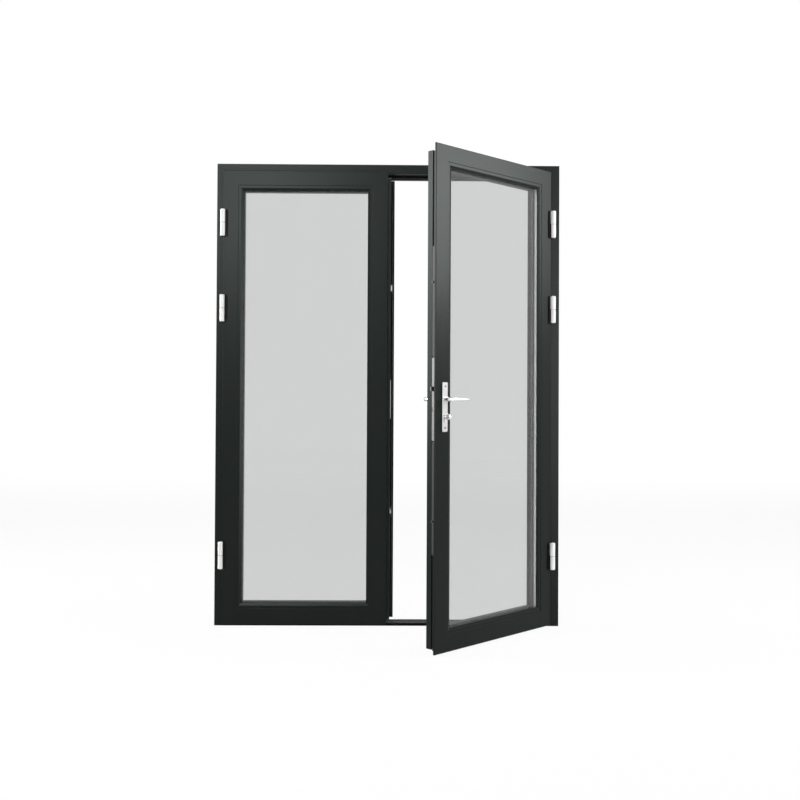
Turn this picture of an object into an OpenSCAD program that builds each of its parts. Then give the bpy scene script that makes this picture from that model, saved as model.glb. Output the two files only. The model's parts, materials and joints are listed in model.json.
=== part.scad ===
// French doors: two glazed leaves that close on each other, hung in a frame with a low threshold.
// Millimetres, +X to the right, +Y to the back, +Z up.
// The origin is under the threshold, in the middle of the width and of the depth.
// The left leaf is closed and carries the astragal. The right leaf carries the lock and stands open.

/* [Frame] */
// Overall width of the frame
frame_w = 1600; // [1400:10:2000]
// Overall height of the frame
frame_h = 2150; // [2000:10:2400]
// Depth of the frame, front to back
frame_d = 80; // [74:1:92]
// Face width of the jambs and the head
frame_face = 42; // [38:1:60]
// Width of the stop at the back of the rebate
stop_w = 16; // [12:1:20]
// Depth of the stop, front to back
stop_d = 16; // [12:1:18]
// Wall thickness of the hollow profiles
wall = 2; // [1.5:0.1:2.6]
// Radius of the soft edges along the profiles
edge_r = 2; // [0.5:0.5:3]
// Height of the low threshold
threshold_h = 12; // [10:1:20]
// Diameter of the fixing holes in the jambs
fixing_d = 10; // [6:0.5:14]
// Height of the lowest pair of fixing holes
fixing_low = 180; // [120:10:240]
// Highest pair of fixing holes below the top of the frame
fixing_high_drop = 185; // [120:5:240]

/* [Leaves] */
// Angle at which the right leaf stands open
open_angle = 43.5; // [0:0.5:100]
// How far the leaves stand in front of the frame
leaf_proud = 10; // [9:0.5:14]
// Face width of the hollow body of the stiles and the top rail
body_face = 48; // [46:1:64]
// Face width of the hollow body of the bottom rail
bottom_face = 62; // [48:1:110]
// Thickness of the lip that covers the joint
lip_t = 8; // [5:0.5:8.5]
// How far the lip laps over the frame
lip_overlap = 10; // [8:0.5:12]
// Gap round the leaf body, where the lock works
edge_gap = 12; // [11:0.5:14]
// Gap between the two lips
meeting_gap = 4; // [3:0.5:8]
// Height of the lip below the body of the bottom rail
bottom_lip = 12; // [8:1:16]
// Gap between the leaf body and the threshold
bottom_gap = 8; // [7:1:16]
// Thickness of the seal between the leaf and the stop
seal_t = 4; // [3:0.5:6]
// Width of the rubber seals
seal_w = 6; // [4:0.5:8]

/* [Glazing] */
// Thickness of each pane
pane_t = 6; // [4:0.5:7]
// Width of the sealed space between the panes
cavity_t = 18; // [12:1:20]
// Clearance round the edge of the glass
glass_gap = 4; // [3:0.5:6]
// Width of the glazing bead in front of the glass, and of the fixed leg behind it
bead_w = 24; // [20:1:28]
// Thickness of the hollow leg behind the glass
leg_t = 26; // [20:0.5:27]
// Thickness of the gaskets on both sides of the glass
gasket_t = 3; // [2:0.5:4]
// Face width of the spacer between the panes
spacer_w = 9; // [6:0.5:10]
// Length of the blocks that carry the glass
block_len = 100; // [60:5:140]

/* [Hinges] */
// Outer diameter of the knuckles
knuckle_d = 22; // [18:0.5:24]
// Length of a hinge
hinge_len = 124; // [100:2:160]
// Diameter of the hinge pin
pin_d = 10; // [8:0.5:12]
// Distance from the hinge axis to the outer edge of the frame
hinge_in = 30; // [26:0.5:34]
// Middle of the top hinge below the top of the frame
top_hinge_drop = 278; // [200:1:320]
// Middle of the second hinge below the top of the frame
second_hinge_drop = 676; // [560:1:800]
// Middle of the bottom hinge above the bottom of the frame
bottom_hinge_rise = 328; // [220:1:400]
// Width of the dark plate beside the knuckle
wing_w = 11; // [8:0.5:16]
// Thickness of the dark plate beside the knuckle
wing_t = 4; // [3:0.5:6]

/* [Lock] */
// Height of the lever above the bottom of the frame
lever_h = 1057; // [1000:1:1120]
// Distance from the edge of the leaf body to the lever's axis
backset = 28; // [28:0.5:33]
// Distance from the front of the leaf to the middle of the lock
lock_depth = 34; // [30:0.5:34.5]
// Distance from the lever down to the cylinder
cylinder_drop = 72; // [70:1:92]
// Width of the steel faceplate
faceplate_w = 16; // [14:0.5:18]
// Length of the steel faceplate
faceplate_len = 347; // [300:1:400]
// Thickness of the steel faceplate
faceplate_t = 3; // [2:0.5:3.5]
// Width of the handle's backplates
backplate_w = 31; // [30:1:40]
// Length of the handle's backplates
backplate_len = 206; // [196:1:240]
// Thickness of the handle's backplates
backplate_t = 8; // [6:0.5:10]
// Middle of the backplates below the lever
backplate_drop = 32; // [28:1:36]
// Length of the lever's grip
lever_len = 118; // [90:1:140]
// How far the lever stands out from the leaf
lever_reach = 46; // [40:1:60]
// Diameter of the lever's neck
neck_d = 18; // [15:0.5:20]
// Height and depth of the thumb turn
turn_size = 25; // [18:0.5:28]
// Travel of the latch
latch_throw = 20; // [18:0.5:21]
// Travel of the deadbolt
deadbolt_throw = 24; // [20:0.5:25]
// Middle of the latch above the lever
latch_rise = 43; // [36:1:52]
// Middle of the deadbolt below the lever
deadbolt_drop = 43; // [34:1:44]
// Upper locking cam above the lever
upper_cam_rise = 487; // [400:1:560]
// Lower locking cam below the lever
lower_cam_drop = 506; // [420:1:560]
// Diameter of the locking cams
cam_d = 10; // [8:0.5:10.5]
// Travel of the locking rods
rod_travel = 24; // [18:1:30]

/* [Flush bolts] */
// Diameter of the flush bolts in the astragal
bolt_d = 11; // [8:0.5:12]
// Travel of the top bolt
top_bolt_throw = 30; // [28:1:36]
// Travel of the bottom bolt
bottom_bolt_throw = 20; // [18:0.5:22]
// Length of the flush bolts
bolt_len = 300; // [200:10:400]

/* [Hidden] */
$fn = 48;
// Running clearance of pins and shafts, on the radius
run_fit = 0.05;
// Clearance of pieces that slide or drop into place
slide_fit = 0.4;
// Clearance of soft or hidden pieces against what they nearly touch
seat_gap = 0.3;
// Overlap of cutting shapes
over = 2;
frame_chambers = 2;
half_w = frame_w / 2;
front_y = -frame_d / 2;
rebate_d = frame_d - stop_d;
jamb_w = frame_face + stop_w;
chamber_pitch = rebate_d / frame_chambers;
fixing_y = front_y + chamber_pitch * (frame_chambers - 0.5) + wall / 2;
fixing_rows = 4;
fixing_pitch = (frame_h - fixing_low - fixing_high_drop) / (fixing_rows - 1);
fixing_heights = [for (i = [0 : fixing_rows - 1]) fixing_low + i * fixing_pitch];
// Leaf, closed
leaf_d = rebate_d - seal_t + leaf_proud;
leaf_y = front_y - leaf_proud;
leaf_back_y = leaf_y + leaf_d;
leaf_chambers = 2;
leaf_pitch = (leaf_d - wall) / leaf_chambers;
lip_w = lip_overlap + edge_gap;
meet_x = meeting_gap / 2;
hinge_lip_x = half_w - frame_face + lip_overlap;
lip_top = frame_h - frame_face + lip_overlap;
lip_bottom = threshold_h + bottom_gap - bottom_lip;
body_x = meet_x + lip_w;
body_bottom = lip_bottom + bottom_lip;
side_rim = lip_w + body_face;
bottom_rim = bottom_lip + bottom_face;
leg_w = bead_w;
groove_d = 4;
groove_w = faceplate_w + 1;
lock_y = leaf_y + lock_depth;
// Mitre steps from the lip's edge to the inside of the leaf, beside and below the glass
side_steps = [-over, 0, lip_w, side_rim, side_rim + leg_w, side_rim + leg_w + over];
bottom_steps = [-over, 0, bottom_lip, bottom_rim, bottom_rim + leg_w, bottom_rim + leg_w + over];
// Glass
unit_t = 2 * pane_t + cavity_t;
glass_back_y = leaf_back_y - leg_t - gasket_t;
glass_front_y = glass_back_y - unit_t;
glass_rim = side_rim + glass_gap;
glass_rim_bottom = bottom_rim + glass_gap;
bead_back_y = glass_front_y - gasket_t;
bead_front_y = leaf_y + wall;
bead_nose = (bead_back_y - bead_front_y) / 3;
spacer_inset = 1;
bead_flat = 12;
sight_rim = side_rim + bead_w;
sight_rim_bottom = bottom_rim + bead_w;
gasket_w = seal_w;
block_inset = 80;
// Hinges
knuckle_r = knuckle_d / 2;
knuckle_gap = 1.5;
hinge_x = half_w - hinge_in;
hinge_y = leaf_y - knuckle_gap - knuckle_r;
hinge_split = 1;
hinge_chamfer = 1.5;
hinge_heights = [bottom_hinge_rise, frame_h - second_hinge_drop, frame_h - top_hinge_drop];
wing_gap = 0.5;
// Part of the knuckle's radius that the neck on the leaf takes up
neck_share = 0.7;
pin_inset = 8;
foot_gap = 3;
// Astragal, fixed to the edge of the left leaf
astragal_face = 2 * body_x - edge_gap;
astragal_x = body_x - edge_gap;
cap_t = 3;
astragal_clear = 4;
astragal_rise = 6;
astragal_bottom = body_bottom + astragal_rise;
astragal_top = frame_h - jamb_w - astragal_clear;
bolt_x = (astragal_x - body_x) / 2;
bolt_y = front_y + (chamber_pitch + wall) / 2;
bolt_sunk = 1;
bolt_knob = 8;
bolt_knob_h = 20;
bolt_knob_out = 2;
// Room round the flush bolts where they pass a profile or a keep
bolt_room = 1;
keep_room = 0.7;
keep_t = 2;
keep_w = 24;
keep_len = 44;
// Lock, in the edge of the right leaf
lock_x = body_x + backset;
case_t = 14;
case_back = 11;
case_over = 25;
case_under = 8;
bolt_w = 12;
bolt_h = 18;
latch_len = 37;
latch_bevel = 10;
deadbolt_tail = 7;
deadbolt_len = deadbolt_throw + deadbolt_tail;
deadbolt_chamfer = 1.5;
spindle_w = 8;
spindle_bore = 12.4;
spindle_in = 20;
cylinder_h = lever_h - cylinder_drop;
cylinder_r = 8.5;
cylinder_fin_w = 10;
cylinder_fin_h = 24;
cylinder_out = 3;
keyway_w = 2.5;
keyway_h = 9;
keyway_d = 6;
turn_w = 9;
turn_stem = 8;
turn_stem_len = 10;
turn_neck = 4;
latch_h = lever_h + latch_rise;
deadbolt_h = lever_h - deadbolt_drop;
case_bottom = cylinder_h - cylinder_fin_h - case_under;
case_top = latch_h + case_over;
screw_inset = 17;
screw_r = 2;
screw_head_r = 4.5;
screw_head_t = 1.6;
screw_head_taper = 1;
screw_len = 16;
rod_w = faceplate_w;
rod_t = 3;
rod_top_past = 150;
rod_bottom_past = 140;
rod_end_gap = 4;
cam_out = 8.5;
cam_stem_d = 6;
cam_head_t = 4;
strike_t = 2;
strike_w = 18;
strike_under = 52;
strike_over = 44;
strike_bottom = deadbolt_h - strike_under;
strike_top = latch_h + strike_over;
window_gap = 1.5;
claw_t = 2.5;
claw_out = 6.5;
claw_len = 34;
claw_wide = 70;

white_finish = "white";
coat_finish = "#3c3d3f";
steel_finish = "silver";
rubber_finish = "#1c1c1c";
glass_finish = [0.8, 0.85, 0.85, 0.4];

function reversed(list) = [for (i = [len(list) - 1 : -1 : 0]) list[i]];

// Shared shapes

// Cut that leaves a round edge on the corner at the origin
module soft_edge(radius) {
  difference() {
    translate([-over, -over]) square(radius + over);
    translate([radius, radius]) circle(radius);
  }
}

// Slot outline with round ends, standing upright round the origin
module upright_slot(width, height) {
  square([width, height - width], center = true);
  for (end = [-1, 1])
    translate([0, end * (height - width) / 2]) circle(width / 2);
}

// Prism drawn from the front, from y0 to y1
module front_prism(y0, y1) {
  translate([0, y1, 0]) rotate([90, 0, 0]) linear_extrude(y1 - y0) children();
}

// Plate drawn on the edge of a leaf, with its outline in depth and height, from x0 to x1
module edge_prism(x0, x1) {
  translate([x0, 0, 0]) rotate([90, 0, 90]) linear_extrude(x1 - x0) children();
}

// Bar that lies along X, with its section hanging down from z
module level_bar(x0, x1, y, z) {
  translate([x0, y, z]) rotate([0, 90, 0]) linear_extrude(x1 - x0) children();
}

// Rectangle from one corner to the other
module box_outline(low, high) {
  translate(low) square(high - low);
}

// Ring seen from the front, between two rims of the leaf
module leaf_ring(rim, bottom, width) {
  difference() {
    box_outline([meet_x + rim, lip_bottom + bottom], [hinge_lip_x - rim, lip_top - rim]);
    box_outline([meet_x + rim + width, lip_bottom + bottom + width],
      [hinge_lip_x - rim - width, lip_top - rim - width]);
  }
}

// Right leaf swung open about its hinge
module swung() {
  translate([hinge_x, hinge_y, 0]) rotate(open_angle) translate([-hinge_x, -hinge_y, 0]) children();
}

// Places a piece drawn for the closed right leaf on the leaf of that side
module on_leaf(side) {
  if (side == "right") swung() children();
  if (side == "left") mirror([1, 0, 0]) children();
}

// Frame

module frame_outline(face) {
  difference() {
    union() {
      square([face, frame_d]);
      translate([0, rebate_d]) square([face + stop_w, stop_d]);
    }
    translate([face, 0]) mirror([1, 0]) soft_edge(edge_r);
  }
}

module frame_profile(face) {
  difference() {
    frame_outline(face);
    for (i = [0 : frame_chambers - 1])
      translate([wall, wall + i * chamber_pitch]) square([face - 2 * wall, chamber_pitch - wall]);
    translate([wall, rebate_d + wall]) square([face + stop_w - 2 * wall, stop_d - 2 * wall]);
  }
}

module jamb() {
  inner_x = half_w - jamb_w - over;
  difference() {
    intersection() {
      translate([half_w, front_y, 0]) mirror([1, 0, 0]) linear_extrude(frame_h) frame_profile(frame_face);
      front_prism(front_y - over, -front_y + over)
        polygon([[half_w + over, -over], [half_w + over, frame_h + over],
          [inner_x, frame_h - jamb_w - over], [inner_x, -over]]);
    }
    translate([inner_x, front_y - over, -over])
      cube([stop_w + over, frame_d + 2 * over, threshold_h + over]);
    for (height = fixing_heights)
      translate([half_w - frame_face - over, fixing_y, height]) rotate([0, 90, 0])
        cylinder(d = fixing_d, h = frame_face + 2 * over);
  }
}

module frame_jamb_right() {
  color(coat_finish) jamb();
}

module frame_jamb_left() {
  color(coat_finish) mirror([1, 0, 0]) jamb();
}

module frame_head() {
  color(coat_finish) difference() {
    intersection() {
      level_bar(-half_w, half_w, front_y, frame_h) frame_profile(frame_face);
      front_prism(front_y - over, -front_y + over)
        polygon([[-half_w - over, frame_h + over], [half_w + over, frame_h + over],
          [half_w - jamb_w - over, frame_h - jamb_w - over],
          [-half_w + jamb_w + over, frame_h - jamb_w - over]]);
    }
    translate([bolt_x, bolt_y, frame_h - frame_face - over])
      cylinder(d = bolt_d + 2 * bolt_room, h = wall + 2 * over);
  }
}

module threshold() {
  groove = 2;
  nose = 3;
  ridge_pitch = frame_d / 8;
  ridges = [5 : 7];
  slot_w = frame_d / 4;
  slot_h = threshold_h / 3;
  bore_floor = 3.3;
  color(steel_finish) difference() {
    translate([-half_w + frame_face, 0, 0]) rotate([90, 0, 90]) linear_extrude(frame_w - 2 * frame_face)
      difference() {
        polygon([[front_y, 0], [-front_y, 0], [-front_y, threshold_h], [front_y + nose, threshold_h],
          [front_y, threshold_h - nose]]);
        for (i = ridges)
          translate([front_y + i * ridge_pitch - groove / 2, threshold_h - groove / 2]) square(groove);
        for (i = [-1, 1])
          translate([i * slot_w - slot_w / 2, -over]) square([slot_w, slot_h + over]);
      }
    translate([bolt_x, bolt_y, bore_floor])
      cylinder(d = bolt_d + 2 * bolt_room, h = threshold_h);
    translate([bolt_x - keep_len / 2, bolt_y - keep_w / 2, threshold_h - keep_t])
      cube([keep_len, keep_w, keep_t + over]);
  }
}

// Corner blocks pressed into the rear chambers of the mitred frame corners
module frame_corner_cleats() {
  leg = 110;
  outer = wall + seat_gap;
  inner = frame_face - wall - seat_gap;
  y0 = front_y + chamber_pitch + wall + seat_gap;
  y1 = front_y + 2 * chamber_pitch - seat_gap;
  color(steel_finish) for (side = [-1, 1])
    front_prism(y0, y1)
      polygon([[side * (half_w - outer), frame_h - leg], [side * (half_w - outer), frame_h - outer],
        [side * (half_w - leg), frame_h - outer], [side * (half_w - leg), frame_h - inner],
        [side * (half_w - inner), frame_h - inner], [side * (half_w - inner), frame_h - leg]]);
}

// Rubber seal on the front of the stop, up both jambs and along the head
module frame_seal() {
  outer = frame_face + (stop_w - seal_w) / 2;
  inner = outer + seal_w;
  color(rubber_finish) front_prism(front_y + rebate_d - seal_t + seat_gap, front_y + rebate_d)
    difference() {
      box_outline([-half_w + outer, threshold_h], [half_w - outer, frame_h - outer]);
      box_outline([-half_w + inner, threshold_h - over], [half_w - inner, frame_h - inner]);
    }
}

// Plates with a hole for each flush bolt: under the head, and let into the threshold
module flush_bolt_keeps() {
  color(steel_finish)
    for (z = [threshold_h - keep_t, frame_h - frame_face - keep_t])
      difference() {
        translate([bolt_x - keep_len / 2, bolt_y - keep_w / 2, z]) cube([keep_len, keep_w, keep_t]);
        translate([bolt_x, bolt_y, z - over]) cylinder(d = bolt_d + 2 * keep_room, h = keep_t + 2 * over);
      }
}

// Hinges

// Round knuckle with chamfered ends, standing on the hinge axis
module knuckle(z, height) {
  translate([hinge_x, hinge_y, z]) rotate_extrude()
    polygon([[0, 0], [knuckle_r - hinge_chamfer, 0], [knuckle_r, hinge_chamfer],
      [knuckle_r, height - hinge_chamfer], [knuckle_r - hinge_chamfer, height], [0, height]]);
}

module pin_bore(z0, z1) {
  translate([hinge_x, hinge_y, z0]) cylinder(d = pin_d + 2 * run_fit, h = z1 - z0);
}

// Lower half of each hinge, with its foot on the front of the jamb
module hinge_frame_half(z) {
  half = (hinge_len - hinge_split) / 2;
  foot_x = hinge_lip_x + foot_gap;
  difference() {
    union() {
      knuckle(z - hinge_len / 2, half);
      translate([foot_x, hinge_y, z - hinge_len / 2 + hinge_chamfer])
        cube([hinge_x + knuckle_r - foot_x, front_y - hinge_y, half - 2 * hinge_chamfer]);
    }
    pin_bore(z - hinge_len / 2 + pin_inset, z);
  }
}

module hinge_frame_halves() {
  color(white_finish) for (side = [0, 1])
    mirror([side, 0, 0])
      for (z = hinge_heights)
        hinge_frame_half(z);
}

module hinge_pins() {
  color(steel_finish) for (side = [-1, 1])
    for (z = hinge_heights)
      translate([side * hinge_x, hinge_y, z - hinge_len / 2 + pin_inset])
        cylinder(d = pin_d, h = hinge_len - 2 * pin_inset - seat_gap);
}

// Upper half of each hinge, with its neck on the lip of the leaf
module hinge_leaf_half(z) {
  half = (hinge_len - hinge_split) / 2;
  neck_x = hinge_x - neck_share * knuckle_r;
  difference() {
    union() {
      knuckle(z + hinge_split / 2, half);
      translate([neck_x, hinge_y, z + hinge_split / 2 + hinge_chamfer])
        cube([hinge_lip_x - neck_x, leaf_y - hinge_y, half - 2 * hinge_chamfer]);
    }
    pin_bore(z, z + hinge_len / 2 - pin_inset);
  }
}

module hinge_leaf_halves(side) {
  color(white_finish) on_leaf(side)
    for (z = hinge_heights)
      hinge_leaf_half(z);
}

// Dark plate on the leaf, beside the knuckle
module hinge_wings(side) {
  wing_x = hinge_x - knuckle_r - wing_gap - wing_w;
  color(rubber_finish) on_leaf(side)
    for (z = hinge_heights)
      front_prism(leaf_y - wing_t, leaf_y)
        box_outline([wing_x, z - hinge_len / 2], [wing_x + wing_w, z + hinge_len / 2]);
}

// Leaves: every piece is drawn for the closed right leaf

// Section of a leaf bar from the edge of its lip, front face at y = 0
module leaf_profile(lip, face) {
  difference() {
    union() {
      square([lip + face, lip_t]);
      translate([lip, 0]) square([face, leaf_d]);
      translate([lip, leaf_d - leg_t]) square([face + leg_w, leg_t]);
    }
    translate([lip - over, lock_depth - groove_w / 2]) square([groove_d + over, groove_w]);
    for (i = [0 : leaf_chambers - 1])
      translate([lip + groove_d + wall, wall + i * leaf_pitch])
        square([face - groove_d - 2 * wall, leaf_pitch - wall]);
    translate([lip + face, leaf_d - leg_t + wall]) square([leg_w - wall, leg_t - 2 * wall]);
    soft_edge(edge_r);
    translate([lip + face, 0]) mirror([1, 0]) soft_edge(edge_r);
  }
}

// Mitre line at one corner of the leaf, from outside to inside
function mitre(x, x_way, z, z_way, z_steps) =
  [for (i = [0 : len(side_steps) - 1]) [x + x_way * side_steps[i], z + z_way * z_steps[i]]];
top_meet = mitre(meet_x, 1, lip_top, -1, side_steps);
top_hinge = mitre(hinge_lip_x, -1, lip_top, -1, side_steps);
bottom_meet = mitre(meet_x, 1, lip_bottom, 1, bottom_steps);
bottom_hinge = mitre(hinge_lip_x, -1, lip_bottom, 1, bottom_steps);

// Trims a bar to the region between two mitre lines
module mitred(first, second) {
  intersection() {
    children();
    front_prism(leaf_y - over, leaf_back_y + over) polygon(concat(first, reversed(second)));
  }
}

module upright_bar() {
  linear_extrude(lip_top - lip_bottom) leaf_profile(lip_w, body_face);
}

module hinge_stile(side) {
  color(coat_finish) on_leaf(side) mitred(bottom_hinge, top_hinge)
    translate([hinge_lip_x, leaf_y, lip_bottom]) mirror([1, 0, 0]) upright_bar();
}

module meeting_bar() {
  mitred(bottom_meet, top_meet) translate([meet_x, leaf_y, lip_bottom]) upright_bar();
}

module top_rail(side) {
  color(coat_finish) on_leaf(side) mitred(top_meet, top_hinge)
    level_bar(meet_x, hinge_lip_x, leaf_y, lip_top) leaf_profile(lip_w, body_face);
}

module bottom_rail(side) {
  color(coat_finish) on_leaf(side) mitred(bottom_meet, bottom_hinge)
    translate([0, 0, lip_bottom]) mirror([0, 0, 1])
      level_bar(meet_x, hinge_lip_x, leaf_y, 0) leaf_profile(bottom_lip, bottom_face);
}

// Corner blocks in the rear chambers, where the mitres meet
module corner_cleats(side) {
  leg = 130;
  near = groove_d + wall + seat_gap;
  far = wall + 2 * seat_gap;
  y0 = leaf_y + leaf_pitch + wall + seat_gap;
  y1 = leaf_back_y - wall - seat_gap;
  color(steel_finish) on_leaf(side) front_prism(y0, y1) {
    for (corner = [[meet_x, 1], [hinge_lip_x, -1]])
      for (level = [[lip_bottom, 1, bottom_lip, bottom_rim], [lip_top, -1, lip_w, side_rim]])
        polygon([for (p = [[lip_w + near, level[2] + near], [leg, level[2] + near],
          [leg, level[3] - far], [side_rim - far, level[3] - far],
          [side_rim - far, leg], [lip_w + near, leg]])
          [corner[0] + corner[1] * p[0], level[0] + level[1] * p[1]]]);
  }
}

module pane(side, y) {
  color(glass_finish) on_leaf(side) front_prism(y, y + pane_t)
    box_outline([meet_x + glass_rim, lip_bottom + glass_rim_bottom],
      [hinge_lip_x - glass_rim, lip_top - glass_rim]);
}

// Spacer bar that holds the panes apart
module glass_spacer(side) {
  color(steel_finish) on_leaf(side)
    front_prism(glass_front_y + pane_t, glass_back_y - pane_t)
      leaf_ring(glass_rim + spacer_inset, glass_rim_bottom + spacer_inset, spacer_w);
}

module bead_profile() {
  depth = bead_back_y - bead_front_y;
  polygon([[0, 0], [bead_flat, 0], [bead_w, depth - bead_nose], [bead_w, depth], [0, depth]]);
}

// Sloped beads that clip in front of the glass, mitred at the corners
module glazing_beads(side) {
  x0 = meet_x + side_rim;
  x1 = hinge_lip_x - side_rim;
  z0 = lip_bottom + bottom_rim;
  z1 = lip_top - side_rim;
  y0 = bead_front_y - over;
  y1 = bead_back_y + over;
  reach = bead_w + over;
  color(coat_finish) on_leaf(side) {
    for (end = [[x0, 1], [x1, -1]])
      intersection() {
        translate([end[0], bead_front_y, z0]) mirror([end[1] < 0 ? 1 : 0, 0, 0])
          linear_extrude(z1 - z0) bead_profile();
        front_prism(y0, y1)
          polygon([[end[0] - end[1] * over, z0 - over + seat_gap],
            [end[0] + end[1] * reach, z0 + reach + seat_gap],
            [end[0] + end[1] * reach, z1 - reach - seat_gap],
            [end[0] - end[1] * over, z1 + over - seat_gap]]);
      }
    for (end = [[z0, 1], [z1, -1]])
      intersection() {
        translate([0, 0, end[0]]) mirror([0, 0, end[1] > 0 ? 1 : 0])
          level_bar(x0, x1, bead_front_y, 0) bead_profile();
        front_prism(y0, y1)
          polygon([[x0 - over, end[0] - end[1] * over], [x0 + reach, end[0] + end[1] * reach],
            [x1 - reach, end[0] + end[1] * reach], [x1 + over, end[0] - end[1] * over]]);
      }
  }
}

module glazing_gaskets(side) {
  rim = sight_rim - gasket_w;
  bottom = sight_rim_bottom - gasket_w;
  color(rubber_finish) on_leaf(side)
    for (y = [bead_back_y, glass_back_y])
      front_prism(y, y + gasket_t) leaf_ring(rim, bottom, gasket_w);
}

// Plastic blocks that carry the glass on the bottom rail
module setting_blocks(side) {
  z0 = lip_bottom + bottom_rim;
  color(rubber_finish) on_leaf(side)
    for (x = [meet_x + glass_rim + block_inset, hinge_lip_x - glass_rim - block_inset - block_len])
      translate([x, glass_front_y, z0]) cube([block_len, unit_t, glass_gap]);
}

// Rubber seal behind the lip, up both stiles and along the top rail
module lip_seal(side) {
  rim = (lip_overlap - seal_w) / 2;
  color(rubber_finish) on_leaf(side)
    front_prism(leaf_y + lip_t, front_y - seat_gap)
      difference() {
        box_outline([meet_x + rim, body_bottom], [hinge_lip_x - rim, lip_top - rim]);
        box_outline([meet_x + rim + seal_w, body_bottom - over],
          [hinge_lip_x - rim - seal_w, lip_top - rim - seal_w]);
      }
}

// Brush in the groove under the bottom rail, which sweeps the threshold
module bottom_brush(side) {
  y0 = lock_y - seal_w / 2;
  color(rubber_finish) on_leaf(side)
    translate([body_x, y0, threshold_h + seat_gap])
      cube([hinge_lip_x - lip_w - body_x, seal_w, bottom_gap + groove_d - seat_gap]);
}

module left_meeting_stile() {
  color(coat_finish) on_leaf("left") meeting_bar();
}

// Astragal: the false post on the edge of the left leaf

module bolt_window(z0, z1) {
  translate([astragal_x - wall - over, bolt_y - bolt_knob / 2 - slide_fit, z0 - slide_fit])
    cube([wall + 2 * over, bolt_knob + 2 * slide_fit, z1 - z0 + 2 * slide_fit]);
}

// Windows that the latch and the deadbolt enter
module strike_windows(x0, x1) {
  edge_prism(x0, x1)
    for (z = [latch_h, deadbolt_h])
      translate([lock_y, z]) square([bolt_w + 2 * window_gap, bolt_h + 2 * window_gap], center = true);
}

top_knob_h = astragal_top - bolt_len + bolt_knob_h;
bottom_knob_h = astragal_bottom + bolt_len - 2 * bolt_knob_h;

module astragal() {
  color(coat_finish) difference() {
    translate([-body_x, front_y, astragal_bottom + cap_t])
      linear_extrude(astragal_top - astragal_bottom - 2 * cap_t) frame_profile(astragal_face);
    strike_windows(astragal_x - wall - over, astragal_x + over);
    bolt_window(top_knob_h, top_knob_h + bolt_knob_h + top_bolt_throw);
    bolt_window(bottom_knob_h - bottom_bolt_throw, bottom_knob_h + bolt_knob_h);
  }
}

module astragal_end_caps() {
  color(rubber_finish) for (z = [astragal_bottom, astragal_top - cap_t])
    difference() {
      translate([-body_x, front_y, z]) linear_extrude(cap_t) frame_outline(astragal_face);
      translate([bolt_x, bolt_y, z - over]) cylinder(d = bolt_d + 2 * run_fit, h = cap_t + 2 * over);
    }
}

module astragal_seal() {
  x0 = astragal_x + (stop_w - seal_w) / 2;
  color(rubber_finish) front_prism(front_y + rebate_d - seal_t + seat_gap, front_y + rebate_d)
    box_outline([x0, astragal_bottom + cap_t], [x0 + seal_w, astragal_top - cap_t]);
}

module strike_plate() {
  color(steel_finish) difference() {
    edge_prism(astragal_x, astragal_x + strike_t)
      translate([lock_y, (strike_top + strike_bottom) / 2])
        upright_slot(strike_w, strike_top - strike_bottom);
    strike_windows(astragal_x - over, astragal_x + strike_t + over);
  }
}

// Keeps with a claw that each locking cam slides behind
module cam_keeps() {
  claw_y = lock_y - cam_d / 2 - slide_fit - claw_t;
  color(steel_finish)
    for (end = [[lever_h + upper_cam_rise, 1], [lever_h - lower_cam_drop, -1]]) {
      locked = end[0] + end[1] * rod_travel;
      edge_prism(astragal_x, astragal_x + strike_t)
        translate([lock_y, locked]) upright_slot(strike_w, claw_wide);
      edge_prism(astragal_x + strike_t, astragal_x + claw_out)
        box_outline([claw_y, min(locked - end[1] * cam_d, locked + end[1] * (claw_len - cam_d))],
          [claw_y + claw_t, max(locked - end[1] * cam_d, locked + end[1] * (claw_len - cam_d))]);
    }
}

// Round bolt in the astragal with a thumb piece that shows in its edge
module flush_bolt(z0, knob_z) {
  translate([bolt_x, bolt_y, z0]) cylinder(d = bolt_d, h = bolt_len);
  translate([bolt_x, bolt_y - bolt_knob / 2, knob_z])
    cube([astragal_x + bolt_knob_out - bolt_x, bolt_knob, bolt_knob_h]);
}

module top_flush_bolt() {
  color(steel_finish) flush_bolt(astragal_top - bolt_sunk - bolt_len, top_knob_h);
}

module bottom_flush_bolt() {
  color(steel_finish) flush_bolt(astragal_bottom + bolt_sunk, bottom_knob_h);
}

// Lock and handle of the right leaf

// Outline of the cylinder with its fin, round the cylinder's axis
module cylinder_outline(gap) {
  circle(cylinder_r + gap);
  translate([-cylinder_fin_w / 2 - gap, -cylinder_fin_h - gap])
    square([cylinder_fin_w + 2 * gap, cylinder_fin_h + gap]);
}

module cylinder_hole(y0, y1) {
  front_prism(y0, y1) translate([lock_x, cylinder_h]) cylinder_outline(slide_fit);
}

module lever_hole(y0, y1, diameter) {
  front_prism(y0, y1) translate([lock_x, lever_h]) circle(d = diameter);
}

screw_heights = [for (way = [-1, 1]) lever_h - backplate_drop + way * (backplate_len / 2 - screw_inset)];

module screw_holes(y0, y1, radius) {
  for (z = screw_heights)
    front_prism(y0, y1) translate([lock_x, z]) circle(radius);
}

module right_meeting_stile() {
  y0 = leaf_y - over;
  y1 = leaf_back_y + over;
  color(coat_finish) swung() difference() {
    meeting_bar();
    translate([body_x, lock_y - case_t / 2 - seat_gap, case_bottom - seat_gap])
      cube([lock_x + case_back + seat_gap - body_x, case_t + 2 * seat_gap,
        case_top - case_bottom + 2 * seat_gap]);
    cylinder_hole(y0, y1);
    lever_hole(y0, y1, spindle_bore + 1);
    screw_holes(y0, y1, screw_r + seat_gap);
  }
}

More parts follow.
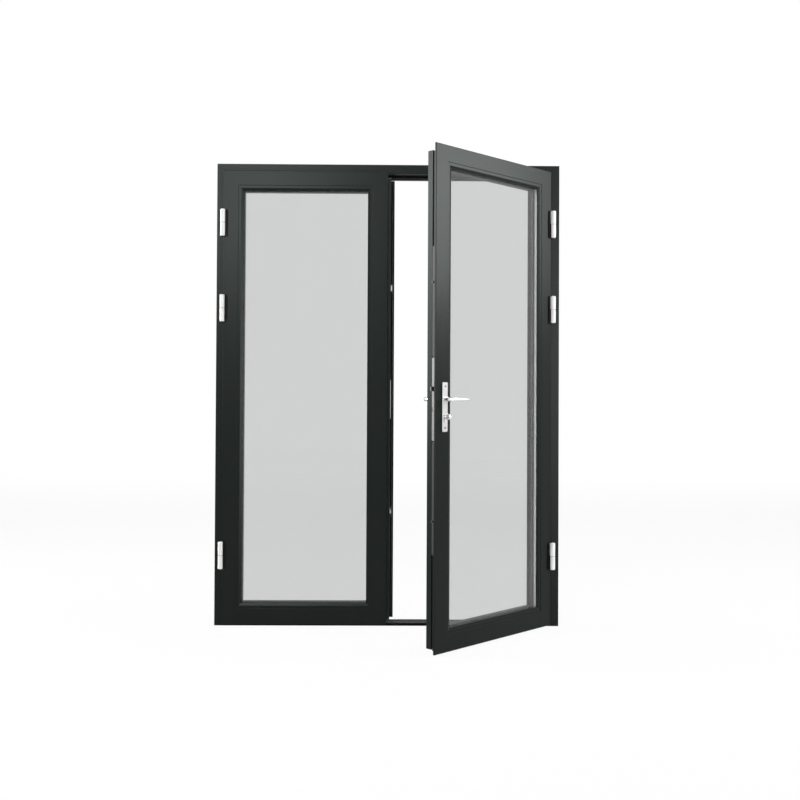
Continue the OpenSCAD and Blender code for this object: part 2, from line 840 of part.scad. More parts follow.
module bolt_pocket(z) {
  translate([body_x, lock_y - bolt_w / 2 - slide_fit, z - bolt_h / 2 - slide_fit])
    cube([lock_x + case_back - wall - body_x, bolt_w + 2 * slide_fit, bolt_h + 2 * slide_fit]);
}

module lock_case() {
  y0 = lock_y - case_t / 2;
  color(steel_finish) swung() difference() {
    translate([body_x + faceplate_t, y0, case_bottom])
      cube([lock_x + case_back - body_x - faceplate_t, case_t, case_top - case_bottom]);
    bolt_pocket(latch_h);
    bolt_pocket(deadbolt_h);
    cylinder_hole(y0 - over, y0 + case_t + over);
    lever_hole(y0 - over, y0 + case_t + over, spindle_bore);
  }
}

module lock_faceplate() {
  color(steel_finish) swung() difference() {
    edge_prism(body_x, body_x + faceplate_t)
      translate([lock_y, lever_h]) upright_slot(faceplate_w, faceplate_len);
    edge_prism(body_x - over, body_x + faceplate_t + over)
      for (z = [latch_h, deadbolt_h])
        translate([lock_y, z]) square([bolt_w + 2 * slide_fit, bolt_h + 2 * slide_fit], center = true);
  }
}

// Latch with a bevelled tip, out by its throw
module latch_bolt() {
  tip = body_x - latch_throw;
  color(steel_finish) swung()
    translate([tip, lock_y, latch_h - bolt_h / 2]) linear_extrude(bolt_h)
      polygon([[0, -bolt_w / 2], [latch_len, -bolt_w / 2], [latch_len, bolt_w / 2],
        [latch_bevel, bolt_w / 2], [0, -bolt_w / 4]]);
}

// Deadbolt, drawn back flush with the faceplate
module deadbolt() {
  c = deadbolt_chamfer;
  color(steel_finish) swung()
    translate([body_x + seat_gap, lock_y, deadbolt_h - bolt_h / 2]) linear_extrude(bolt_h)
      polygon([[c, -bolt_w / 2], [deadbolt_len, -bolt_w / 2], [deadbolt_len, bolt_w / 2],
        [c, bolt_w / 2], [0, bolt_w / 2 - c], [0, -bolt_w / 2 + c]]);
}

module lock_cylinder() {
  y0 = leaf_y - backplate_t - cylinder_out;
  y1 = leaf_back_y + backplate_t + cylinder_out;
  color(steel_finish) swung() difference() {
    front_prism(y0, y1) translate([lock_x, cylinder_h]) cylinder_outline(0);
    front_prism(y0 - over, y0 + turn_stem_len) translate([lock_x, cylinder_h])
      circle(d = turn_stem + 2 * run_fit);
    front_prism(y1 - keyway_d, y1 + over)
      translate([lock_x, cylinder_h]) square([keyway_w, keyway_h], center = true);
  }
}

// Flat oval knob on a stem that turns in the cylinder
module thumbturn() {
  y0 = leaf_y - backplate_t - cylinder_out;
  color(steel_finish) swung() {
    front_prism(y0 - turn_neck, y0 + turn_stem_len - seat_gap)
      translate([lock_x, cylinder_h]) circle(d = turn_stem);
    intersection() {
      front_prism(y0 - turn_size, y0 - turn_neck)
        translate([lock_x, cylinder_h]) upright_slot(turn_w, turn_size);
      translate([lock_x - turn_size, y0 - turn_size / 2, cylinder_h]) rotate([0, 90, 0])
        cylinder(d = turn_size, h = 2 * turn_size);
    }
  }
}

// Long plates under the levers, in front and behind
module handle_backplates() {
  rows = [[leaf_y - backplate_t, leaf_y], [leaf_back_y, leaf_back_y + backplate_t]];
  color(steel_finish) swung()
    for (row = rows)
      difference() {
        front_prism(row[0], row[1])
          translate([lock_x, lever_h - backplate_drop]) upright_slot(backplate_w, backplate_len);
        lever_hole(row[0] - over, row[1] + over, neck_d + 2 * run_fit);
        cylinder_hole(row[0] - over, row[1] + over);
        screw_holes(row[0] - over, row[1] + over, screw_r + seat_gap);
      }
}

module backplate_screws() {
  rows = [[leaf_y - backplate_t, 1], [leaf_back_y + backplate_t, -1]];
  color(steel_finish) swung()
    for (row = rows)
      for (z = screw_heights)
        translate([lock_x, row[0], z]) rotate([-90 * row[1], 0, 0]) {
          translate([0, 0, -screw_head_t])
            cylinder(r1 = screw_head_r - screw_head_taper, r2 = screw_head_r, h = screw_head_t);
          cylinder(r = screw_r, h = screw_len);
        }
}

// One lever from the face of the leaf outwards, its grip towards the hinges
module lever() {
  root_r = 10;
  middle_r = 8;
  tip_r = 3.5;
  flat = 0.75;
  crown = 1;
  tip_back = 4;
  start = 1;
  difference() {
    union() {
      translate([0, -start, 0]) rotate([90, 0, 0]) cylinder(d = neck_d, h = lever_reach - start);
      hull($fn = 28) {
        translate([0, -lever_reach, 0]) scale([1, flat, 1]) sphere(root_r);
        translate([lever_len / 2, -lever_reach - crown, 0]) scale([1, flat, 1]) sphere(middle_r);
      }
      hull($fn = 28) {
        translate([lever_len / 2, -lever_reach - crown, 0]) scale([1, flat, 1]) sphere(middle_r);
        translate([lever_len - tip_r, -lever_reach + tip_back, 0]) scale([1, flat, 1]) sphere(tip_r);
      }
    }
    translate([0, -spindle_in / 2, 0])
      cube([spindle_w + seat_gap, 1.5 * spindle_in, spindle_w + seat_gap], center = true);
  }
}

module lever_handles() {
  color(steel_finish) swung() {
    translate([lock_x, leaf_y, lever_h]) lever();
    translate([lock_x, leaf_back_y, lever_h]) mirror([0, 1, 0]) lever();
  }
}

// Square bar that joins the levers through the lock
module lever_spindle() {
  color(steel_finish) swung()
    translate([lock_x - spindle_w / 2, leaf_y - spindle_in, lever_h - spindle_w / 2])
      cube([spindle_w, leaf_d + 2 * spindle_in, spindle_w]);
}

// Flat rod in the groove of the leaf's edge, with its locking cam
module locking_rod(z0, z1, cam_z) {
  x1 = body_x + groove_d - seat_gap;
  translate([x1 - rod_t, lock_y - rod_w / 2, z0]) cube([rod_t, rod_w, z1 - z0]);
  translate([body_x - cam_out, lock_y, cam_z]) rotate([0, 90, 0]) {
    cylinder(d = cam_d, h = cam_head_t);
    cylinder(d = cam_stem_d, h = x1 - rod_t - body_x + cam_out);
  }
}

module upper_rod() {
  cam_z = lever_h + upper_cam_rise;
  color(rubber_finish) swung()
    locking_rod(lever_h + faceplate_len / 2 + rod_end_gap, cam_z + rod_top_past, cam_z);
}

module lower_rod() {
  cam_z = lever_h - lower_cam_drop;
  color(rubber_finish) swung()
    locking_rod(cam_z - rod_bottom_past, lever_h - faceplate_len / 2 - rod_end_gap, cam_z);
}

frame_head();
frame_jamb_left();
frame_jamb_right();
threshold();
frame_corner_cleats();
frame_seal();
hinge_frame_halves();
hinge_pins();
flush_bolt_keeps();
left_meeting_stile();
astragal();
astragal_end_caps();
astragal_seal();
strike_plate();
cam_keeps();
top_flush_bolt();
bottom_flush_bolt();
right_meeting_stile();
lock_case();
lock_faceplate();
lock_cylinder();
handle_backplates();
backplate_screws();
lever_handles();
lever_spindle();
latch_bolt();
deadbolt();
thumbturn();
upper_rod();
lower_rod();
for (side = ["left", "right"]) {
  hinge_stile(side);
  top_rail(side);
  bottom_rail(side);
  corner_cleats(side);
  pane(side, glass_front_y);
  pane(side, glass_back_y - pane_t);
  glass_spacer(side);
  glazing_beads(side);
  glazing_gaskets(side);
  setting_blocks(side);
  lip_seal(side);
  bottom_brush(side);
  hinge_leaf_halves(side);
  hinge_wings(side);
}
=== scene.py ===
import json
import math

import bmesh
import bpy
from mathutils import Matrix, Vector


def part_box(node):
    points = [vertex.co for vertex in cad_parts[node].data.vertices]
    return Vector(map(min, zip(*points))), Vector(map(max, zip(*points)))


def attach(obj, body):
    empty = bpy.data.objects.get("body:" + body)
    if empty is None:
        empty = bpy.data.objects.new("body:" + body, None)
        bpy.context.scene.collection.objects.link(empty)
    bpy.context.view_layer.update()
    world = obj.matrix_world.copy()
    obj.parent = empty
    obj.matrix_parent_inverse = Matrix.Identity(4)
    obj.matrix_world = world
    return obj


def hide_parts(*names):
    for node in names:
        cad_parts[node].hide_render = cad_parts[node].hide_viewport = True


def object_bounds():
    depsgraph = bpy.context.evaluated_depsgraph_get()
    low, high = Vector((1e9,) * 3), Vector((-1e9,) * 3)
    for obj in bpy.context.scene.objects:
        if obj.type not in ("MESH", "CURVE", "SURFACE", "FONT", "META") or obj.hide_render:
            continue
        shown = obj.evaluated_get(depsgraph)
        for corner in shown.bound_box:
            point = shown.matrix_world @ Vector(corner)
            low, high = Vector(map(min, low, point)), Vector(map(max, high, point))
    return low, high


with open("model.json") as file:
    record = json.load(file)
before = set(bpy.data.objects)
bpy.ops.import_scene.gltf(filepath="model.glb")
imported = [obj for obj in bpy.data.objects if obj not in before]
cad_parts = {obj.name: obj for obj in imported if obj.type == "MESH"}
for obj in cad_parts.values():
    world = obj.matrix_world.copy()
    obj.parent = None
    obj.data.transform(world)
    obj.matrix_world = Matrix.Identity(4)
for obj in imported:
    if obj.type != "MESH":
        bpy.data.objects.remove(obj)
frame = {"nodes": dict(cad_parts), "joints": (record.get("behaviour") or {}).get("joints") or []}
cad_low, cad_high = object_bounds()
nodes = frame["nodes"]
joints = {joint["name"]: joint for joint in frame["joints"]}

# Outer frame: head and jambs of extruded aluminium, mitred at the top corners.
# The bars are powder coated in anthracite, which leaves a satin skin with a fine orange peel.


class Flow:
    """A socket in a material; arithmetic on it adds Math nodes."""

    def __init__(self, tree, socket=None):
        self.tree = tree
        self.socket = socket

    def node(self, kind, settings=None, inputs=None, output=0):
        made = self.tree.nodes.new(kind)
        for key, value in (settings or {}).items():
            if key == "stops":
                ramp = made.color_ramp.elements
                while len(ramp) < len(value):
                    ramp.new(0.5)
                for element, (place, colour) in zip(ramp, value):
                    element.position = place
                    element.color = colour
            else:
                setattr(made, key, value)
        for key, value in (inputs or {}).items():
            if isinstance(value, Flow):
                self.tree.links.new(value.socket, made.inputs[key])
            else:
                made.inputs[key].default_value = value
        return Flow(self.tree, made.outputs[output])

    def math(self, operation, first, second):
        return self.node("ShaderNodeMath", {"operation": operation}, {0: first, 1: second})

    def __add__(self, other):
        return self.math("ADD", self, other)

    __radd__ = __add__

    def __mul__(self, other):
        return self.math("MULTIPLY", self, other)

    __rmul__ = __mul__

    def __sub__(self, other):
        return self.math("SUBTRACT", self, other)

    def __rsub__(self, other):
        return self.math("SUBTRACT", other, self)


def new_finish(name):
    """An empty material, and the flow that its nodes are added to."""
    material = bpy.data.materials.new(name)
    material.use_nodes = True
    material.node_tree.nodes.clear()
    return material, Flow(material.node_tree)


def show(flow, shader):
    """Sends a shader to the material's output."""
    end = flow.tree.nodes.new("ShaderNodeOutputMaterial")
    flow.tree.links.new(shader.socket, end.inputs["Surface"])


def blend_colours(flow, share, first, second):
    """The first colour where the share is 0, the second where it is 1."""
    return flow.node("ShaderNodeMix", {"data_type": "RGBA"}, {0: share, 6: first, 7: second}, 2)


def grain(flow, scale, detail=2.0, stretch=(1.0, 1.0, 1.0)):
    """Noise fixed to the object, its cells drawn out along the axes with a small stretch."""
    place = flow.node("ShaderNodeTexCoord", output="Object")
    turned = flow.node("ShaderNodeMapping", {}, {"Vector": place, "Scale": stretch})
    return flow.node("ShaderNodeTexNoise", {}, {"Vector": turned, "Scale": scale, "Detail": detail})


def bumped(flow, height, strength, depth=0.0003):
    """A normal raised by a height field, with its depth in metres."""
    return flow.node("ShaderNodeBump", {}, {"Strength": strength, "Distance": depth, "Height": height})


def powder_skin(flow, pale, deep, gloss):
    """Satin powder coat: fine orange peel, with a slow drift in tone and gloss."""
    peel = grain(flow, peel_scale, detail=3.0)
    drift = grain(flow, drift_scale)
    return flow.node("ShaderNodeBsdfPrincipled", {}, {
        "Base Color": blend_colours(flow, drift, deep, pale),
        "Roughness": gloss + 0.08 * drift + 0.05 * peel,
        "Normal": bumped(flow, peel, strength=0.05, depth=0.0004),
        "Specular IOR Level": 0.12, "Specular Tint": (0.90, 1.0, 0.97, 1)})


def powder_coat(name, pale, deep, gloss):
    """A finish that is all powder coat."""
    material, flow = new_finish(name)
    show(flow, powder_skin(flow, pale, deep, gloss))
    return material


def dress(material, *names):
    """Gives CAD nodes their finish."""
    for name in names:
        slots = nodes[name].data.materials
        slots.clear()
        slots.append(material)


peel_scale = 900.0
drift_scale = 2.5
frame_pale = (0.0072, 0.0096, 0.0089, 1)
frame_deep = (0.0054, 0.0072, 0.0067, 1)
frame_gloss = 0.27
anthracite = powder_coat("anthracite_coat", frame_pale, frame_deep, frame_gloss)
dress(anthracite, "frame_head", "frame_jamb_left", "frame_jamb_right")

# Corner cleats: cast aluminium blocks that are pressed into the hollow bars and hold the mitres.
# They show only where a bar is cut open, and keep the grainy skin of the casting.


def bare_metal(name, tone, rough, stretch, scale, strength):
    """Uncoated metal with a directional grain in its gloss and its surface."""
    material, flow = new_finish(name)
    lines = grain(flow, scale, detail=3.0, stretch=stretch)
    cloud = grain(flow, 14.0)
    dark = tuple(0.86 * c for c in tone)
    show(flow, flow.node("ShaderNodeBsdfPrincipled", {}, {
        "Base Color": blend_colours(flow, lines, dark + (1,), tone + (1,)), "Metallic": 1.0,
        "Roughness": rough + 0.10 * lines + 0.05 * cloud, "Normal": bumped(flow, lines, strength)}))
    return material


cast_aluminium = bare_metal("cast_aluminium", (0.58, 0.58, 0.59), rough=0.42,
                            stretch=(1, 1, 1), scale=300.0, strength=0.2)
dress(cast_aluminium, "frame_corner_cleats", "left_corner_cleats", "right_corner_cleats")

# Threshold: a low extruded sill with fine grooves along its walked edge.
# It is coated black and screwed between the jambs; its top is painted a dull grey in streaks as painted
# light from above.


def along_axis(flow, kind, output, axis):
    """One part, X, Y or Z, of a place or a direction."""
    return flow.node("ShaderNodeSeparateXYZ", {}, {0: flow.node(kind, output=output)}, axis)


def top_lit_coat(name, black, lit_top_grey):
    """Matt black coat, with the faces that look up painted a lighter grey in streaks as painted light from
    above.
    """
    material, flow = new_finish(name)
    streaks = grain(flow, 260.0, detail=3.0, stretch=(0.08, 1.0, 1.0))
    upward = flow.math("MAXIMUM", along_axis(flow, "ShaderNodeNewGeometry", "Normal", "Z"), 0.0)
    # Painted light: upward faces turn grey, as if lit from above, broken into streaks.
    painted_top_light = flow.math("POWER", upward, flat_only) * (0.7 + 0.5 * streaks)
    show(flow, flow.node("ShaderNodeBsdfPrincipled", {}, {
        "Base Color": blend_colours(flow, painted_top_light, black, lit_top_grey), "Roughness": 0.48 + 0.12 * streaks,
        "Normal": bumped(flow, streaks, strength=0.08), "Specular IOR Level": 0.04}))
    return material


flat_only = 12.0
matt_black = top_lit_coat("matt_black_coat", (0.0022, 0.0022, 0.0023, 1), (0.056, 0.056, 0.055, 1))
dress(matt_black, "threshold")

# Leaves: four coated bars each, mitred and cramped on hidden corner cleats.
# The same coating as the frame, from another batch hung beside it on the line.
leaf_pale = (0.0075, 0.0100, 0.0093, 1)
leaf_deep = (0.0057, 0.0076, 0.0071, 1)
leaf_gloss = 0.25
leaf_coat = powder_coat("leaf_coat", leaf_pale, leaf_deep, leaf_gloss)
for side in ("left", "right"):
    for bar in ("hinge_stile", "meeting_stile", "top_rail", "bottom_rail", "glazing_beads"):
        dress(leaf_coat, side + "_" + bar)

# Glazing: two clear float panes sealed on a spacer, held by sloped beads and black gaskets.
# Lamps pass through the glass, so it throws only a faint shadow.


def window_glass(name, tint):
    """Clear glass with a faint ripple, plain to the rays that look for a lamp."""
    material, flow = new_finish(name)
    ripple = grain(flow, 1.4, detail=1.0)
    glass = flow.node("ShaderNodeBsdfPrincipled", {}, {
        "Base Color": tint, "Roughness": 0.0, "IOR": 1.45, "Transmission Weight": 1.0,
        "Normal": bumped(flow, ripple, strength=0.006, depth=0.001)})
    clear = flow.node("ShaderNodeBsdfTransparent", {}, {"Color": tint})
    lamp_ray = flow.node("ShaderNodeLightPath", output="Is Shadow Ray")
    show(flow, flow.node("ShaderNodeMixShader", {}, {0: lamp_ray, 1: glass, 2: clear}))
    return material


def matt_polymer(name, tone, rough, scale, shine=0.5):
    """Matt rubber or plastic with a faint bloom."""
    material, flow = new_finish(name)
    bloom = grain(flow, 40.0, detail=3.0)
    pale = tuple(1.6 * c for c in tone)
    show(flow, flow.node("ShaderNodeBsdfPrincipled", {}, {
        "Base Color": blend_colours(flow, bloom, tone + (1,), pale + (1,)),
        "Roughness": rough + 0.12 * bloom, "Normal": bumped(flow, grain(flow, scale), strength=0.12),
        "Specular IOR Level": shine}))
    return material


float_glass = window_glass("float_glass", (0.782, 0.788, 0.785, 1))
seal_rubber = matt_polymer("seal_rubber", (0.012, 0.012, 0.012), rough=0.55, scale=1200.0)
black_plastic = matt_polymer("black_plastic", (0.014, 0.014, 0.015), rough=0.40, scale=800.0)
spacer_metal = bare_metal("spacer_metal", (0.80, 0.80, 0.81), rough=0.34,
                          stretch=(0.05, 1, 1), scale=500.0, strength=0.1)
for side in ("left", "right"):
    dress(float_glass, side + "_front_pane", side + "_rear_pane")
    dress(spacer_metal, side + "_glass_spacer")
    dress(seal_rubber, side + "_glazing_gaskets", side + "_lip_seal")
    dress(black_plastic, side + "_setting_blocks")

# Stop seals: hollow rubber bulbs on a flat foot, pushed on the stop of the frame and of the astragal.
# The bulb runs in one length round the corners, which bend in a small radius.


def new_piece(name, mesh, body):
    """Links a finished mesh as a piece that rides on a body."""
    piece = bpy.data.objects.new(name, mesh)
    bpy.context.scene.collection.objects.link(piece)
    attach(piece, body)
    return piece


def new_tree(name, sizes):
    """An empty geometry tree with named inputs for its sizes; returns the tree and its two end nodes."""
    tree = bpy.data.node_groups.new(name, "GeometryNodeTree")
    tree.interface.new_socket("Geometry", in_out="INPUT", socket_type="NodeSocketGeometry")
    for label, value in sizes.items():
        kind = "NodeSocketInt" if isinstance(value, int) else "NodeSocketFloat"
        tree.interface.new_socket(label, in_out="INPUT", socket_type=kind).default_value = value
    tree.interface.new_socket("Geometry", in_out="OUTPUT", socket_type="NodeSocketGeometry")
    return tree, tree.nodes.new("NodeGroupInput"), tree.nodes.new("NodeGroupOutput")


def add_node(tree, kind, settings, links):
    """One node of a geometry tree, with its settings and the values or links of its sockets."""
    made = tree.nodes.new(kind)
    for key, value in settings.items():
        setattr(made, key, value)
    for key, value in links.items():
        if isinstance(value, bpy.types.NodeSocket):
            tree.links.new(value, made.inputs[key])
        else:
            made.inputs[key].default_value = value
    return made


def close_tree(tree, end, geometry, material):
    """Realizes the instances, sets the finish and ends the tree."""
    solid = add_node(tree, "GeometryNodeRealizeInstances", {}, {"Geometry": geometry})
    coated = add_node(tree, "GeometryNodeSetMaterial", {}, {"Geometry": solid.outputs[0]})
    coated.inputs["Material"].default_value = material
    tree.links.new(coated.outputs[0], end.inputs[0])


def grow(name, tree, base, sizes):
    """Runs a geometry tree on a base mesh and returns the result as a plain mesh."""
    carrier = bpy.data.objects.new(name, base)
    bpy.context.scene.collection.objects.link(carrier)
    modifier = carrier.modifiers.new("grow", "NODES")
    modifier.node_group = tree
    for item in tree.interface.items_tree:
        if item.in_out == "INPUT" and item.name in sizes:
            modifier[item.identifier] = sizes[item.name]
    graph = bpy.context.evaluated_depsgraph_get()
    mesh = bpy.data.meshes.new_from_object(carrier.evaluated_get(graph))
    carrier.modifiers.remove(modifier)
    bpy.data.objects.remove(carrier)
    mesh.name = name
    return mesh


def bulb_tree(material):
    """Sweeps a round bulb along a path that may turn corners."""
    tree, start, end = new_tree("bulb_seal", {"Bulb Radius": 0.0016, "Corner Radius": 0.006})
    path = add_node(tree, "GeometryNodeMeshToCurve", {}, {"Mesh": start.outputs["Geometry"]})
    bent = add_node(tree, "GeometryNodeFilletCurve", {}, {
        "Curve": path.outputs[0], "Radius": start.outputs["Corner Radius"]})
    ring = add_node(tree, "GeometryNodeCurvePrimitiveCircle", {}, {
        "Resolution": 14, "Radius": start.outputs["Bulb Radius"]})
    tube = add_node(tree, "GeometryNodeCurveToMesh", {}, {
        "Curve": bent.outputs[0], "Profile Curve": ring.outputs[0], "Fill Caps": True})
    smooth = add_node(tree, "GeometryNodeSetShadeSmooth", {}, {"Geometry": tube.outputs[0]})
    close_tree(tree, end, smooth.outputs[0], material)
    return tree


def point_mesh(name, points, path=False):
    """Bare points for a tree to work on, joined in their order where they are a path."""
    edges = [(i, i + 1) for i in range(len(points) - 1)] if path else []
    mesh = bpy.data.meshes.new(name)
    mesh.from_pydata([tuple(p) for p in points], edges, [])
    return mesh


def joined(name, *meshes):
    """One mesh from several, with the first one's finish."""
    shape = bmesh.new()
    for mesh in meshes:
        shape.from_mesh(mesh)
    result = bpy.data.meshes.new(name)
    shape.to_mesh(result)
    shape.free()
    result.materials.append(meshes[0].materials[0])
    return result


def slab(low, high, material):
    """A box between two corners with softly broken edges."""
    shape = bmesh.new()
    bmesh.ops.create_cube(shape, size=1.0)
    size = high - low
    for vertex in shape.verts:
        vertex.co = Vector(low[i] + (vertex.co[i] + 0.5) * size[i] for i in range(3))
    soft = slab_softness * min(size)
    bmesh.ops.bevel(shape, geom=shape.edges[:], offset=soft, segments=2, affect="EDGES", profile=0.5)
    mesh = bpy.data.meshes.new("slab")
    shape.to_mesh(mesh)
    shape.free()
    mesh.materials.append(material)
    return mesh


slab_softness = 0.2
foot_t = 0.0012
bulb_r = 0.0013
bulb = bulb_tree(seal_rubber)
post_low, post_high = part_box("astragal_seal")
seal_face = post_high.x - post_low.x
low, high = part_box("frame_seal")
bulb_y = high.y - foot_t - bulb_r
left_x, right_x = low.x + seal_face / 2, high.x - seal_face / 2
bulb_top = high.z - seal_face / 2
route = [(left_x, bulb_y, low.z), (left_x, bulb_y, bulb_top), (right_x, bulb_y, bulb_top),
         (right_x, bulb_y, low.z)]
feet = [slab(Vector((x, high.y - foot_t, low.z)), Vector((x + seal_face, high.y, high.z)), seal_rubber)
        for x in (low.x, high.x - seal_face)]
feet.append(slab(Vector((low.x + seal_face, high.y - foot_t, high.z - seal_face)),
                 Vector((high.x - seal_face, high.y, high.z)), seal_rubber))
tube = grow("frame_bulb", bulb, point_mesh("frame_bulb_path", route, True), {"Bulb Radius": bulb_r})
frame_bulb = new_piece("frame_bulb_seal", joined("frame_bulb_seal", tube, *feet), "frame")
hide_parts("frame_seal")

post_x = (post_low.x + post_high.x) / 2
route = [(post_x, bulb_y, post_low.z), (post_x, bulb_y, post_high.z)]
tube = grow("astragal_bulb", bulb, point_mesh("astragal_bulb_path", route, True), {"Bulb Radius": bulb_r})
foot = slab(Vector((post_low.x, post_high.y - foot_t, post_low.z)), post_high, seal_rubber)
seal_mesh = joined("astragal_bulb_seal", tube, foot)
astragal_bulb = new_piece("astragal_bulb_seal", seal_mesh, "left_leaf")
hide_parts("astragal_seal")

# Bottom brushes: nylon bristles crimped in a black holder under each leaf, which sweep the threshold.
# The bristles stand in staggered rows and lean a little at random.


def bristle_tree(material):
    """Thin hairs that stand on points, each leaning by a random amount."""
    tree, start, end = new_tree("bristles", {
        "Lower Radius": 0.0005, "Upper Radius": 0.00025, "Bristle Length": 0.01, "Lean": 0.12, "Seed": 7})
    hair = add_node(tree, "GeometryNodeMeshCone", {"fill_type": "NGON"}, {
        "Vertices": 3, "Radius Top": start.outputs["Upper Radius"],
        "Radius Bottom": start.outputs["Lower Radius"], "Depth": start.outputs["Bristle Length"]})
    low_lean = add_node(tree, "ShaderNodeMath", {"operation": "MULTIPLY"}, {
        0: start.outputs["Lean"], 1: -1.0})
    lean = add_node(tree, "FunctionNodeRandomValue", {"data_type": "FLOAT"}, {
        2: low_lean.outputs[0], 3: start.outputs["Lean"], "Seed": start.outputs["Seed"]})
    turn = add_node(tree, "ShaderNodeCombineXYZ", {}, {"X": lean.outputs[1], "Y": lean.outputs[1]})
    planted = add_node(tree, "GeometryNodeInstanceOnPoints", {}, {
        "Points": start.outputs["Geometry"], "Instance": hair.outputs["Mesh"], "Rotation": turn.outputs[0]})
    close_tree(tree, end, planted.outputs[0], material)
    return tree


nylon = matt_polymer("nylon_bristle", (0.020, 0.020, 0.021), rough=0.5, scale=900.0)
bristles = bristle_tree(nylon)
bristle_pitch = 0.0017
bristle_rows = 3
holder_share = 0.35


def corners(places):
    """Lowest and highest corner of the box round some points."""
    return (Vector(min(p[i] for p in places) for i in range(3)),
            Vector(max(p[i] for p in places) for i in range(3)))


def closed_box(node, turn):
    """Corners of a node in the place it has when its leaf is closed."""
    back = turn.inverted()
    return corners([back @ v.co for v in nodes[node].data.vertices])


swing = joints["right_leaf_swing"]
pivot = Vector(swing["pos_m"])
open_angle = math.radians(-swing["range_deg"][0])
to_rest = Matrix.Translation(pivot) @ Matrix.Rotation(open_angle, 4, "Z") @ Matrix.Translation(-pivot)
unturned = Matrix.Identity(4)
leaf_turn = {"left": unturned, "right": to_rest}
for side in ("left", "right"):
    low, high = closed_box(side + "_bottom_brush", leaf_turn[side])
    clamp = high.z - holder_share * (high.z - low.z)
    length = clamp - low.z
    count = int((high.x - low.x) / bristle_pitch)
    row_step = (high.y - low.y) / (bristle_rows + 1)
    points = [(low.x + bristle_pitch * (i + 0.5 * (row % 2) + 0.25), low.y + row_step * (row + 1),
               clamp - length / 2) for row in range(bristle_rows) for i in range(count)]
    hairs = grow(side + "_hairs", bristles, point_mesh("bristle_roots", points),
                 {"Bristle Length": length})
    holder = slab(Vector((low.x, low.y, clamp)), high, black_plastic)
    for mesh in (hairs, holder):
        mesh.transform(leaf_turn[side])
    new_piece(side + "_brush_holder", holder, side + "_leaf")
    brush = new_piece(side + "_brush_bristles", hairs, side + "_leaf")
    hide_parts(side + "_bottom_brush")

# Hinges: heavy white knuckles on a steel pin, three to a leaf, the upper half on the leaf.
# They are enamelled die castings with a nylon bush between the halves and a low cap at each end.


def enamel(name, tone):
    """Glossy enamel with a fine peel and a slow drift in tone."""
    material, flow = new_finish(name)
    peel = grain(flow, 700.0)
    cloud = grain(flow, 20.0)
    dull = tuple(0.94 * c for c in tone)
    show(flow, flow.node("ShaderNodeBsdfPrincipled", {}, {
        "Base Color": blend_colours(flow, cloud, dull + (1,), tone + (1,)),
        "Roughness": 0.30 + 0.08 * cloud, "Normal": bumped(flow, peel, strength=0.05),
        "Specular IOR Level": 0.25}))
    return material


white_enamel = enamel("white_enamel", (0.86, 0.86, 0.85))
bright_steel = bare_metal("bright_steel", (0.70, 0.70, 0.69), rough=0.20,
                          stretch=(1, 1, 0.04), scale=900.0, strength=0.08)
dress(white_enamel, "hinge_frame_halves", "left_hinge_leaf_halves", "right_hinge_leaf_halves")
dress(bright_steel, "hinge_pins")
# The hinge wings are a dark part, made near black and dull as painted shade in the notch beside each
# knuckle.
shaded_wing_black = matt_polymer("shaded_wing_black", (0.004, 0.004, 0.004), rough=0.50, scale=800.0, shine=0.08)
dress(shaded_wing_black, "left_hinge_wings", "right_hinge_wings")


def loose_boxes(node, turn):
    """Boxes of the separate solids in a node, closed, from the bottom up."""
    shape = bmesh.new()
    shape.from_mesh(nodes[node].data)
    shape.transform(turn.inverted())
    bmesh.ops.remove_doubles(shape, verts=shape.verts, dist=1e-6)
    seen = set()
    boxes = []
    for first in shape.verts:
        if first in seen:
            continue
        group = [first]
        seen.add(first)
        for vertex in group:
            for edge in vertex.link_edges:
                other = edge.other_vert(vertex)
                if other not in seen:
                    seen.add(other)
                    group.append(other)
        boxes.append(corners([v.co for v in group]))
    shape.free()
    return sorted(boxes, key=lambda pair: (round(pair[0].z, 4), pair[0].x))


def cap_tree(material):
    """Low domes on points, round above and below, so that one shape closes either end."""
    tree, start, end = new_tree("hinge_caps", {"Cap Radius": 0.0090, "Cap Height": 0.0012})
    dome = add_node(tree, "GeometryNodeMeshUVSphere", {}, {
        "Segments": 28, "Rings": 12, "Radius": start.outputs["Cap Radius"]})
    share = add_node(tree, "ShaderNodeMath", {"operation": "DIVIDE"}, {
        0: start.outputs["Cap Height"], 1: start.outputs["Cap Radius"]})
    flat = add_node(tree, "ShaderNodeCombineXYZ", {}, {"X": 1.0, "Y": 1.0, "Z": share.outputs[0]})
    squat = add_node(tree, "GeometryNodeTransform", {}, {
        "Geometry": dome.outputs["Mesh"], "Scale": flat.outputs[0]})
    smooth = add_node(tree, "GeometryNodeSetShadeSmooth", {}, {"Geometry": squat.outputs[0]})
    placed = add_node(tree, "GeometryNodeInstanceOnPoints", {}, {
        "Points": start.outputs["Geometry"], "Instance": smooth.outputs[0]})
    close_tree(tree, end, placed.outputs[0], material)
    return tree


caps = cap_tree(white_enamel)
for body, node, turn, at_top in (("frame", "hinge_frame_halves", unturned, False),
                                 ("left_leaf", "left_hinge_leaf_halves", unturned, True),
                                 ("right_leaf", "right_hinge_leaf_halves", to_rest, True)):
    points = [(math.copysign(pivot.x, low.x), pivot.y, high.z if at_top else low.z)
              for low, high in loose_boxes(node, turn)]
    mesh = grow(node + "_caps", caps, point_mesh("cap_points", points), {})
    mesh.transform(turn)
    new_piece(node + "_caps", mesh, body)


def bush_tree(material):
    """Thin washers on points."""
    tree, start, end = new_tree("hinge_bushes", {"Bush Radius": 0.0104, "Bush Height": 0.0008})
    washer = add_node(tree, "GeometryNodeMeshCylinder", {}, {
        "Vertices": 32, "Radius": start.outputs["Bush Radius"], "Depth": start.outputs["Bush Height"]})
    placed = add_node(tree, "GeometryNodeInstanceOnPoints", {}, {
        "Points": start.outputs["Geometry"], "Instance": washer.outputs["Mesh"]})
    close_tree(tree, end, placed.outputs[0], material)
    return tree


